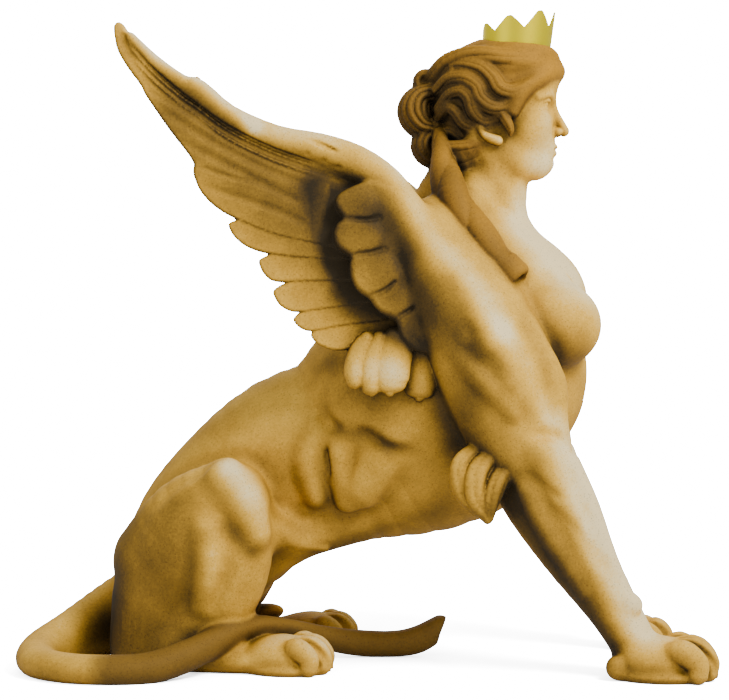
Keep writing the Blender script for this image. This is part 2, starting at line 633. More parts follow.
def paw(clay, heel, toes, length, spread, width, height, side):
    """Heel and toes are the x of the pad and of the toes' tips."""
    y = side * spread
    pad_x = heel + length * 0.06
    clay.ball((heel, y, height * 0.44), (length * 0.40, width * 0.95, height * 0.58), blend=1.2)
    clay.ball((pad_x, y, height * 0.14), (length * 0.48, width * 0.98, height * 0.30), blend=0.8)
    for index in range(TOES):
        fan = (index - (TOES - 1) / 2) / ((TOES - 1) / 2)
        end_y = y + 0.74 * width * fan
        tip = toes - 1.9 * fan ** 2
        thick = height * 0.27
        clay.limb([(heel + length * 0.10, y + 0.50 * width * fan, height * 0.62, thick * 0.9),
                   (tip - length * 0.24, end_y, height * 0.72, thick * 1.12),
                   (tip - length * 0.11, end_y, height * 0.48, thick * 1.02),
                   (tip - thick * 0.95, end_y, height * 0.24, thick * 0.92)], blend=0.5, steps=4)
        clay.limb([(tip - thick * 0.5, end_y, height * 0.26, 0.42), (tip - 0.2, end_y, height * 0.12, 0.24)],
                  blend=0.15)
        if index:
            gap_y = y + 0.74 * width * (fan - 1 / (TOES - 1))
            clay.crease([(tip - length * 0.40, y + (gap_y - y) * 0.8, height * 0.98),
                         (tip - length * 0.20, gap_y, height * 0.80),
                         (tip - length * 0.04, gap_y, height * 0.42),
                         (tip, gap_y, height * 0.02)], 0.55, 0.55)


def paws(clay):
    back = FAR_FORELEG_SETBACK
    paw(clay, 46.8, 56.5, 16.0, FORELEG_Y + 2.6, 5.7, 6.5, -1)
    paw(clay, 47.0 - back, 53.3 - back, 11.4, FAR_FORELEG_Y + 1.8, 5.4, 5.0, 1)
    clay.ball((41.2, -(FORELEG_Y + 5.2), 2.0), (1.9, 1.5, 1.9), blend=0.5)
    for side, spread, height in ((-1, HIND_FOOT_Y, 5.8), (1, FAR_HIND_FOOT_Y, 5.0)):
        clay.limb([(-28, spread * side, 3.0, 3.2, 3.9), (-20, spread * side, 1.9, 2.2, 3.7),
                   (-14, spread * side, 1.9, 2.2, 4.0)], blend=1.6)
        paw(clay, -10.8, -2.7, 13.5, spread, 5.2, height, side)


# %% Fur behind the elbow
FUR_CURLS = [
    (0.3, (19.6, 18.4, 35.0, 1.3), (17.4, 19.4, 32.6, 1.7), (17.5, 19.8, 29.0, 1.6), (19.6, 19.6, 25.6, 0.8)),
    (0.3, (22.4, 18.8, 34.4, 1.4), (20.0, 20.4, 31.6, 1.9), (19.6, 20.6, 27.8, 1.7), (21.4, 20.2, 24.4, 0.7)),
    (0.3, (24.6, 18.8, 32.6, 1.2), (23.0, 20.4, 30.4, 1.6), (21.9, 20.7, 27.4, 1.4), (21.8, 20.3, 24.8, 0.6))]


def elbow_tuft(clay):
    """Three curls of fur that overlap like leaves and come to one point."""
    for side in SIDES:
        clay.ball((21.4, 17.0 * side, 31.6), (3.4, 2.4, 3.4), 20, blend=1.0)
        clay.limbs(FUR_CURLS, side, steps=4, strands=5, twist=0.22, groove=0.13)


# %% Tail
TAIL_ROUTE = [
    (-36, 1, 7.4, 5.5, 8.0), (-42.0, -2.5, 5.6, 4.5, 6.0), (-47.0, -9, 3.6, 3.8, 4.2),
    (-49.6, -17, 2.5, 3.4, 3.1), (-47.9, -24.5, 2.1, 3.1, 2.5), (-43.0, -28.9, 2.0, 2.9, 2.3),
    (-36.5, -30.3, 2.0, 2.8, 2.3), (-29.5, -28.5, 2.1, 2.7, 2.4), (-23.5, -24, 3.8, 2.4, 2.4),
    (-17.3, -17, 6.6, 2.0, 2.0), (-11.8, -10.5, 5.6, 1.8, 1.8), (-6.5, -5, 3.6, 1.9, 1.9),
    (-1, -2, 2.3, 1.9, 2.1), (5, -1, 2.1, 1.9, 2.1), (9.0, -1, 2.9, 2.0, 2.2), (12.6, -1, 5.0, 2.2, 1.9)]


def tail(clay):
    """The route round the near haunch. A big ball cuts its end off with a hollow face."""
    clay.limb(TAIL_ROUTE, side=(0, 0, 1), blend=1.2, steps=4)
    clay.ball((20.2, -1, 2.0), (8, 8, 8), blend=0.3, way='cut')


# %% [markdown]
# ## The wings
# Seen from outside, a wing is a shallow dish: a thick rounded leading edge, a smooth middle, and eight
# long feathers whose tips make the scalloped rim. A raised layer of short feathers flows out of the
# shoulder and throws a dark hollow behind it, and five plump down feathers hang below. Each row of
# WING_LINES is how far the line stands off the wing, its width, its depth and its points.

# %% Wing forms
WING_ROOT_Y = 16.5
WING_TIP_Y = 28.0
WING_ROOT_X = 8.0
WING_TIP_X = -35.0


def wing_face(x, proud):
    """How far the wing's outer face stands from the middle at x."""
    share = (WING_ROOT_X - x) / (WING_ROOT_X - WING_TIP_X)
    return WING_ROOT_Y + (WING_TIP_Y - WING_ROOT_Y) * share + proud


def wing_path(points, proud, side):
    return [(x, wing_face(x, proud) * side, z) for x, z in points]


UPPER_WING = [
    (-33.9, 100.4), (-35.0, 99.7), (-34.5, 96.0), (-32.9, 93.2), (-30.8, 90.4), (-30.5, 89.4), (-26.9, 84.0),
    (-23.0, 78.9), (-23.4, 77.5), (-22.4, 74.7), (-20.6, 72.6), (-18.2, 70.9), (-11.7, 68.0), (-2.0, 66.0),
    (10.0, 64.0), (9.0, 70.0), (5.0, 77.0), (-5.9, 81.6), (-16.3, 85.4), (-23.4, 90.0), (-29.6, 94.2),
    (-32.6, 98.2)]
LOWER_FEATHERS = [
    [(-18.5, 70.2), (-17.5, 67.8), (-15.7, 66.2), (-13.2, 65.2), (-7.4, 64.4), (4.0, 64.0), (4.0, 72.0),
     (-8.0, 71.5)],
    [(-13.9, 64.6), (-13.3, 62.4), (-11.6, 60.6), (-5.0, 60.9), (5.0, 61.0), (5.0, 67.0), (-6.0, 66.2)],
    [(-12.0, 59.9), (-10.8, 57.2), (-8.5, 55.9), (-1.8, 56.9), (6.0, 58.0), (6.0, 64.0), (-4.0, 62.6)],
    [(-9.0, 55.4), (-7.8, 53.7), (-6.0, 53.0), (-1.0, 54.1), (7.0, 55.0), (7.0, 60.0), (-3.0, 58.6)],
    [(-6.4, 53.0), (-5.2, 51.2), (-2.9, 50.2), (-0.7, 50.2), (3.4, 51.4), (8.0, 52.0), (8.0, 57.0),
     (-1.0, 55.8)]]
COVERTS = [
    (-1.2, 74.4), (-2.0, 73.0), (-1.5, 71.8), (-0.4, 70.5), (-1.7, 69.6), (-2.2, 67.8), (-1.5, 66.0),
    (0.7, 64.7), (0.2, 63.4), (0.6, 61.0), (1.5, 59.4), (3.3, 58.3), (3.9, 57.0), (5.2, 55.8), (7.5, 55.2),
    (7.6, 53.6), (8.0, 52.0), (9.6, 50.5), (12.0, 49.8), (20.0, 50.5), (24.0, 56.0), (17.0, 66.0),
    (9.5, 73.5), (4.0, 77.0)]
COVERT_SWELLS = [(1.6, 72.4, 2.6), (1.6, 67.6, 3.2), (4.4, 61.6, 3.4), (8.2, 57.2, 2.8), (11.4, 52.9, 2.9)]
DOWN_FEATHERS = [
    (1.8, 0.2, (2.6, 52.0), (1.0, 48.4), (0.9, 44.6)), (1.9, 0.8, (4.6, 52.0), (3.2, 47.8), (3.4, 43.5)),
    (3.1, 1.5, (7.4, 52.4), (6.4, 48.2), (6.2, 43.8)), (2.8, 0.9, (11.6, 51.8), (11.0, 47.4), (10.6, 42.9)),
    (1.9, -0.3, (14.5, 50.5), (13.8, 47.6), (13.2, 44.8))]
LEADING_EDGE = [
    (18, 61, 4.7), (12.8, 66.6, 4.0), (8.6, 71.4, 3.3), (5.2, 75.8, 3.2), (0.8, 79.2, 2.9), (-4.6, 81.4, 2.4),
    (-11.0, 83.0, 1.9), (-18.0, 86.2, 1.7), (-22.6, 89.8, 1.9), (-25.0, 91.0, 1.4), (-29.0, 94.2, 1.1),
    (-32.4, 97.8, 0.8)]
WING_ROOT = [(10, 11, 60, 9, 6), (3, 13, 62, 7.5, 4), (-2, 15, 67, 5.5, 2.4)]


def wing_plate(proud, side):
    def middle(x, z):
        return wing_face(x, proud) * side + 0 * z
    return middle


def wings(clay):
    for side in SIDES:
        for index, outline in enumerate(LOWER_FEATHERS[::-1]):
            clay.plate(outline, wing_plate(0.26 * index - 1.4, side), 1.15, 0.45, blend=0.12)
        clay.plate(UPPER_WING, wing_plate(-0.1, side), 1.1, 0.45, blend=0.12)
        clay.limb(mirrored(WING_ROOT, side), blend=1.5)
        clay.limb([(x, wing_face(x, 0.5) * side, z, tall, max(tall * 0.95, 1.1))
                   for x, z, tall in LEADING_EDGE], blend=0.7)
        clay.plate(COVERTS, wing_plate(1.7, side), 2.0, 0.9, blend=0.5)
        for x, z, size in COVERT_SWELLS:
            clay.ball((x, wing_face(x, 2.6) * side, z), (size * 0.95, 0.95, size * 0.85), blend=1.4)
        clay.limb([(8.0, wing_face(8, 1.6) * side, 71, 2.4), (13, wing_face(13, 2.6) * side, 63.0, 3.4),
                   (17.5, 19.0 * side, 56.0, 3.6)], blend=2.0)
        for width, proud, *points in DOWN_FEATHERS:
            clay.feather(wing_path(points, proud, side), width, 1.5, 0.18)


# %% Lines on the wing
WRIST_EDGE = 5
DOUBLE_RIDGE = ((-0.35, 0.40), (0.20, -0.40), (0.80, 0.32), (1.35, -0.34), (1.9, 0.26))
WING_LINES = [
    (2.2, 0.4, 0.4, (-1.0, 78.6), (-2.5, 78.2), (-4.0, 79.4)),
    (2.2, 0.4, 0.4, (-3.4, 79.4), (-4.9, 79.0), (-6.4, 80.2)),
    (2.2, 0.4, 0.4, (-5.8, 80.4), (-7.2, 79.8), (-8.6, 81.0)),
    (2.6, 0.35, 0.4, (-6.0, 82.6), (-3.2, 81.4), (-1.0, 80.4)),
    (1.0, 0.3, 0.2, (-8.4, 78.6), (-4.0, 77.6), (0.2, 76.2)),
    (1.0, 0.35, 0.5, (-33.4, 98.6), (-33.0, 96.4), (-31.6, 94.0)),
    (1.0, 0.35, 0.3, (-30.0, 90.0), (-25.0, 87.0)),
    (1.0, 0.35, 0.3, (-22.6, 78.4), (-17.0, 76.6), (-13.0, 76.0)),
    (1.0, 0.6, 0.30, (-31.4, 92.0), (-24.0, 87.0), (-14.0, 81.4), (-6.0, 78.6)),
    (1.0, 0.6, 0.30, (-28.6, 87.4), (-21.0, 82.6), (-13.0, 78.4), (-6.0, 75.6)),
    (1.0, 0.6, 0.30, (-25.4, 82.4), (-18.4, 78.8), (-12.0, 75.4), (-6.4, 72.6)),
    (1.0, 0.6, 0.30, (-22.4, 75.6), (-16.0, 73.6), (-10.4, 71.6), (-6.0, 69.4)),
    (3.7, 0.4, 0.45, (-0.6, 70.4), (3.0, 70.2), (5.5, 70.8)),
    (3.7, 0.4, 0.45, (0.6, 64.8), (3.6, 65.2), (6.4, 66.0)),
    (3.7, 0.4, 0.45, (3.2, 58.4), (5.6, 59.4), (7.6, 61.2)),
    (3.7, 0.4, 0.45, (7.4, 55.2), (9.4, 56.4), (11.0, 58.2))]


def wing_lines(clay):
    """The double ridge under the leading edge, the wrist's small folds and the lines between the feathers."""
    for side in SIDES:
        for drop, deep in DOUBLE_RIDGE:
            clay.crease([(x, wing_face(x, 1.0) * side, z - tall * 0.9 - 0.6 - drop)
                         for x, z, tall in LEADING_EDGE[WRIST_EDGE:]], 0.32, deep)
        for proud, width, depth, *points in WING_LINES:
            clay.crease(wing_path(points, proud, side), width, depth)
        for (tip_x, tip_z), _, _, (low_x, low_z), *_ in LOWER_FEATHERS:
            y = wing_face(tip_x, 0.6) * side
            middle_z = (tip_z + low_z) / 2
            clay.crease([(tip_x + 1.2, y, middle_z + 0.2), ((tip_x + low_x) / 2 + 1.5, y, middle_z + 0.7)],
                        0.3, 0.14)


# %% [markdown]
# ## The head
# The face is a calm, general one on the proportions that drawing books give: the eyes at half the
# height of the head, and hairline, brow, base of the nose and chin on even thirds. Each lid and lip is a
# short bent tube, melted into the skull over a few millimetres.

# %% Skull and ears
CHIN_Z = 79.0
HAIRLINE_Z = 97.0
FACE_THIRD = (HAIRLINE_Z - CHIN_Z) / 3
NOSE_BASE_Z = CHIN_Z + FACE_THIRD
BROW_Z = CHIN_Z + 2 * FACE_THIRD
EYE_Z = 89.9
EYE_Y = 3.1
MOUTH_Z = CHIN_Z + FACE_THIRD * 0.66


def head(clay):
    """The skull, the face's long oval and the jaw."""
    clay.ball((21.2, 0, 91.6), (9.3, 7.4, 9.3), blend=2.0)
    clay.ball((24.5, 0, 92.6), (6.5, 6.5, 6.6), blend=2.0)
    clay.ball((26.2, 0, 93.0), (4.6, 5.2, 3.4), blend=2.0)
    clay.ball((24.2, 0, 87.0), (6.9, 6.0, 8.0), blend=2.2)
    clay.ball((25.3, 0, 83.6), (5.5, 4.9, 4.6), blend=2.2)
    clay.ball((29.0, 0, CHIN_Z + 1.9), (2.1, 2.3, 1.9), blend=1.6)
    for side in SIDES:
        clay.limb([(19.5, 5.3 * side, 85.0, 2.3, 1.5), (23.6, 4.5 * side, 81.4, 2.2, 1.6),
                   (28.2, 1.6 * side, 80.2, 1.8)], blend=1.8)


EAR_LOBE = [(19.2, 6.8, 86.2, 0.4), (19.8, 7.6, 85.0, 0.5), (21.0, 7.8, 84.1, 0.75), (22.3, 7.4, 83.7, 0.85)]


def ears(clay):
    """The lobes, which show below the waves."""
    for side in SIDES:
        clay.limb(mirrored(EAR_LOBE, side), blend=0.5, steps=4)


# %% Face
BROW = [(30.5, 1.3, BROW_Z - 0.1, 0.55), (30.3, 3.2, BROW_Z + 0.5, 0.5), (28.6, 5.3, BROW_Z - 0.1, 0.5)]
UPPER_LID = [(29.6, 1.75, EYE_Z - 0.15, 0.22), (30.3, 2.6, EYE_Z + 0.5, 0.27),
             (30.0, 3.7, EYE_Z + 0.55, 0.27), (28.9, 4.7, EYE_Z + 0.05, 0.22)]
LOWER_LID = [(29.6, 1.9, EYE_Z - 0.25, 0.18), (30.0, 2.8, EYE_Z - 0.75, 0.2),
             (29.7, 3.8, EYE_Z - 0.7, 0.2), (28.9, 4.6, EYE_Z - 0.15, 0.18)]
NOSE = [(29.9, 0, BROW_Z + 0.3, 0.9, 1.1), (30.7, 0, 89.6, 0.8, 0.75), (31.9, 0, 87.4, 0.85, 0.8),
        (32.7, 0, NOSE_BASE_Z + 0.9, 0.9, 0.9)]
UPPER_LIP = [(29.9, -2.1, MOUTH_Z + 0.05, 0.2), (31.1, -0.8, MOUTH_Z + 0.42, 0.42),
             (31.3, 0, MOUTH_Z + 0.34, 0.42), (31.1, 0.8, MOUTH_Z + 0.42, 0.42),
             (29.9, 2.1, MOUTH_Z + 0.05, 0.2)]
LOWER_LIP = [(29.9, -1.9, MOUTH_Z - 0.1, 0.2), (30.9, -0.8, MOUTH_Z - 0.55, 0.46),
             (31.1, 0, MOUTH_Z - 0.6, 0.5), (30.9, 0.8, MOUTH_Z - 0.55, 0.46),
             (29.9, 1.9, MOUTH_Z - 0.1, 0.2)]


def face(clay):
    for side in SIDES:
        clay.ball((31.9, EYE_Y * side, EYE_Z), (2.0, 2.0, 1.5), blend=1.6, way='cut')
        clay.limb(mirrored(BROW, side), blend=1.0)
        clay.ball((27.3, 4.0 * side, NOSE_BASE_Z + 1.5), (2.5, 2.2, 2.4), blend=2.4)
        clay.ball((28.75, EYE_Y * side, EYE_Z), (1.45, 1.45, 1.2), blend=0.25)
        clay.limb(mirrored(UPPER_LID, side), blend=0.25)
        clay.limb(mirrored(LOWER_LID, side), blend=0.3)
    clay.limb(NOSE, blend=0.9, steps=4)
    for side in SIDES:
        clay.ball((31.5, 1.05 * side, NOSE_BASE_Z + 0.7), (0.95, 0.6, 0.65), blend=0.5)
        clay.ball((32.0, 0.55 * side, NOSE_BASE_Z - 0.05), (0.5, 0.3, 0.28), blend=0.2, way='cut')
    clay.ball((29.2, 0, MOUTH_Z), (2.0, 2.6, 2.0), blend=1.0)
    clay.limb(UPPER_LIP, side=(0, 0, 1), blend=0.25)
    clay.limb(LOWER_LIP, side=(0, 0, 1), blend=0.25)
    clay.crease([(29.9, -2.2, MOUTH_Z), (31.6, 0, MOUTH_Z - 0.08), (29.9, 2.2, MOUTH_Z)], 0.22, 0.22)
    clay.crease([(31.9, 0, NOSE_BASE_Z - 0.4), (31.6, 0, MOUTH_Z + 0.9)], 0.4, 0.14)
    clay.crease([(30.6, -1.2, MOUTH_Z - 1.5), (31.0, 0, MOUTH_Z - 1.6), (30.6, 1.2, MOUTH_Z - 1.5)], 0.5, 0.2)


# %% [markdown]
# ## The hair
# The hair is drawn back from the brow in waves, knotted in three curls behind the head, and falls in one
# long ringlet on each side. A lock is a tube that follows the head's oval, with grooves along it for the
# strands, and it sinks into the hair below by half its width.

# %% Locks
HAIR_CENTRE = (20.9, 0, 92.0)
HAIR_RADII = (10.7, 8.6, 9.7)
WAVES = [
    [(27.4, 96.4, 1.1), (23.2, 96.8, 1.4), (18.6, 97.5, 1.6), (14.2, 96.8, 1.5), (10.8, 94.4, 1.2)],
    [(26.8, 92.5, 0.9), (24.6, 91.4, 1.2), (22.6, 91.9, 1.35), (21.4, 93.6, 1.3), (19.6, 95.2, 1.2),
     (17.2, 95.9, 1.0), (15.4, 96.0, 0.8), (15.0, 95.0, 0.5)],
    [(25.0, 89.7, 0.9), (23.2, 88.9, 1.1), (21.2, 89.1, 1.3), (19.6, 90.5, 1.3), (18.9, 92.3, 1.25),
     (17.0, 93.7, 1.15), (14.4, 93.9, 1.0), (12.2, 92.4, 0.8)],
    [(22.6, 87.5, 0.8), (20.2, 87.0, 1.0), (18.5, 88.5, 1.2), (17.8, 90.5, 1.15), (16.4, 91.7, 1.0),
     (14.4, 91.3, 0.9), (12.6, 89.4, 0.8)],
    [(19.4, 85.8, 0.9), (17.0, 86.6, 1.1), (15.6, 88.6, 1.1), (14.2, 89.3, 0.9), (12.4, 88.0, 0.8),
     (11.4, 86.0, 0.7)],
    [(19.6, 84.2, 0.8), (16.8, 84.4, 1.1), (14.4, 85.8, 1.1), (12.4, 85.0, 0.9)]]
HAIRLINE = [(31.5, 0.0, 95.6, 0.9), (30.4, 3.4, 95.0, 1.0), (29.0, 5.5, 93.8, 1.1), (27.0, 6.8, 92.3, 1.2),
            (25.6, 7.4, 90.6, 1.2), (24.7, 7.6, 88.4, 1.0)]
NAPE_LOCKS = [
    ((20.8, 6.2, 83.8, 0.9), (17.6, 6.5, 82.8, 1.3), (14.4, 5.6, 82.6, 1.4)),
    ((20.4, 5.4, 82.6, 1.1), (16.8, 5.4, 81.0, 1.8), (13.2, 4.4, 80.6, 1.7))]
SIDE_LOCK = [(22.8, 7.4, 88.2, 0.8), (23.7, 7.8, 86.8, 0.85), (24.3, 7.6, 85.5, 0.65), (24.3, 7.2, 84.6, 0.3)]
STRAND_LINES = [
    [(31.0, 97.0), (27.6, 95.6), (24.4, 94.2), (22.6, 94.8)],
    [(30.0, 98.4), (26.4, 97.4), (23.4, 95.6), (21.4, 95.8)],
    [(29.6, 95.2), (27.2, 93.8), (25.2, 92.9)], [(19.0, 99.4), (15.0, 98.6), (11.6, 96.0)],
    [(21.0, 98.4), (16.6, 96.9), (13.6, 95.4)]]


def on_hair(x, z, side, proud):
    """A point at the hair's surface for an x and a z, moved out or in by proud."""
    along = (x - HAIR_CENTRE[0]) / HAIR_RADII[0]
    up = (z - HAIR_CENTRE[2]) / HAIR_RADII[2]
    return side * (HAIR_RADII[1] * math.sqrt(max(1 - along ** 2 - up ** 2, 0.04)) + proud)


# %% Laying the hair
CROWN_SEAT = (25.0, 0.0, 99.6)
CROWN_INNER_RADIUS = 5.25
CROWN_ROOM = 0.04
CROWN_THICKNESS = 0.70
CROWN_TILT = math.radians(4.0)


def turns(first, last, step):
    """Angles in radians from a range in degrees."""
    return [math.radians(angle) for angle in range(first, last, step)]


def hair(clay):
    clay.ball(HAIR_CENTRE, [size * 0.93 for size in HAIR_RADII], blend=0.5)
    clay.ball((25.2, 0, 95.6), (7.3, 7.3, 4.4), blend=1.5)
    seat_x, _, seat_z = CROWN_SEAT
    radius = CROWN_INNER_RADIUS
    ring = [(radius * math.cos(turn), radius * math.sin(turn)) for turn in turns(0, 361, 30)]
    clay.limb([(seat_x + ahead, aside, seat_z - 1.2 - 0.07 * ahead, 1.3) for ahead, aside in ring],
              side=(0, 0, 1), blend=2.0, steps=2)
    for side in SIDES:
        clay.limb(mirrored(HAIRLINE, side), blend=1.3, steps=4)
        for index, wave in enumerate(WAVES):
            melt = 0.8 if index else 1.5
            clay.limb([(x, on_hair(x, z, side, -0.55), z, radius) for x, z, radius in wave],
                      blend=melt, steps=4, strands=7, twist=0.25 * (-1) ** index, groove=0.11)
        clay.limb(mirrored(NAPE_LOCKS[0], side), blend=0.8, strands=7, groove=0.10)
        clay.limb(mirrored(NAPE_LOCKS[1], side), blend=1.0, strands=7, groove=0.09)
        clay.ball((21.4, 8.4 * side, 86.3), (1.5, 1.1, 1.0), 20, blend=0.6, way='cut')
        clay.limb(mirrored(SIDE_LOCK, side), blend=0.3, steps=4, strands=5, groove=0.14)
        for line in STRAND_LINES:
            clay.crease([(x, on_hair(x, z, side, 0.1), z) for x, z in line], 0.6, 0.14)
    knot(clay)
    for side in SIDES:
        ringlet(clay, side)


# %% Knot and ringlets
BROAD_ROLL = [(12.6, 0, 92.6, 1.5, 3.4), (9.6, 0, 91.7, 2.2, 4.4), (8.5, 0, 89.4, 3.0, 5.0),
              (9.8, 0, 87.0, 2.3, 4.4), (12.6, 0, 86.2, 1.5, 3.4)]
SMALL_ROLL = [(13.6, 0, 86.2, 1.4, 3.0), (11.0, 0, 85.4, 2.0, 3.7), (10.1, 0, 83.7, 2.4, 4.0),
              (11.2, 0, 82.0, 1.9, 3.4), (13.4, 0, 81.6, 1.3, 2.6)]


def knot(clay):
    """Three curls: a small scroll above, a broad roll in the middle and a smaller one below."""
    clay.ball((10.4, 0, 94.1), (1.5, 2.2, 1.5), blend=0.3)
    clay.limb([(10.3 + 1.35 * math.cos(turn), 0, 94.1 + 1.35 * math.sin(turn), 0.95, 3.0)
               for turn in turns(-60, 301, 45)], blend=0.4, strands=6, groove=0.10)
    clay.limb(BROAD_ROLL, blend=0.5, steps=5, strands=22, twist=0.05, groove=0.09)
    clay.limb(SMALL_ROLL, blend=0.5, steps=5, strands=18, twist=-0.05, groove=0.09)


RINGLET = [
    (12.6, 3.6, 85.6, 1.0), (13.6, 7.4, 80.4, 2.0), (15.0, 11.0, 75.2, 2.7), (17.6, 13.4, 70.2, 3.0),
    (21.0, 14.8, 65.8, 3.1), (23.4, 15.2, 63.3, 2.4)]


def ringlet(clay, side):
    """A ringlet from behind the ear to the breast, with a spiral groove and a hollow end."""
    route = mirrored(RINGLET, side)
    clay.limb(route, blend=0.4, steps=5, strands=2, twist=0.30 * side, groove=0.20)
    before, end = (np.array(station[:3]) for station in route[-2:])
    ahead = unit(end - before)
    up = unit(np.cross(ahead, (0, 1, 0)))
    out = np.cross(ahead, up)
    ring = [2.1 * (math.cos(turn) * up + math.sin(turn) * out) for turn in turns(0, 361, 30)]
    for step in (0.2, 1.1, 2.0, 2.7):
        clay.limb([(*(end + ahead * step + spoke), 0.75) for spoke in ring], blend=0.5, steps=2)


def crown_seat(clay):
    """The narrow ring that the crown's band stands in, cut in the hair and open above."""
    inner = CROWN_INNER_RADIUS - CROWN_ROOM
    outer = CROWN_INNER_RADIUS + CROWN_THICKNESS + CROWN_ROOM
    cosine, sine = math.cos(CROWN_TILT), math.sin(CROWN_TILT)

    def distance(x, y, z):
        x, y, z = x - CROWN_SEAT[0], y - CROWN_SEAT[1], z - CROWN_SEAT[2]
        along = cosine * x - sine * z
        up = sine * x + cosine * z
        away = np.sqrt(along * along + y * y)
        return np.maximum(np.abs(away - (inner + outer) / 2) - (outer - inner) / 2, -CROWN_ROOM - up)

    centre = np.array(CROWN_SEAT)
    clay.new_form('cut', 0.02)
    clay.new_part(distance, centre - (7, 7, 1), centre + (7, 7, 4))


# %% [markdown]
# ## Carving it
# The forms are laid in order, from the big masses to the small ones, because a later form melts only
# into what is there already. The stone is meshed in three stretches that meet inside the neck and the
# waist, so that each can be fine enough: the head, the wings with the chest, and the legs with the tail.

# %% Laying the forms
stone_clay = Clay()
CARVING_ORDER = (trunk, forelegs, hindlegs, muscles, folds, tail, paws, elbow_tuft, wings, wing_lines,
                 head, face, hair, ears, crown_seat)
for carve in CARVING_ORDER:
    carve(stone_clay)
stone_clay.ready()
hair_clay = Clay()
hair(hair_clay)
hair_clay.ready()
tail_clay = Clay()
tail(tail_clay)
tail_clay.ready()
print('forms in the clay:', len(stone_clay.ways), 'in', len(stone_clay.parts), 'parts')

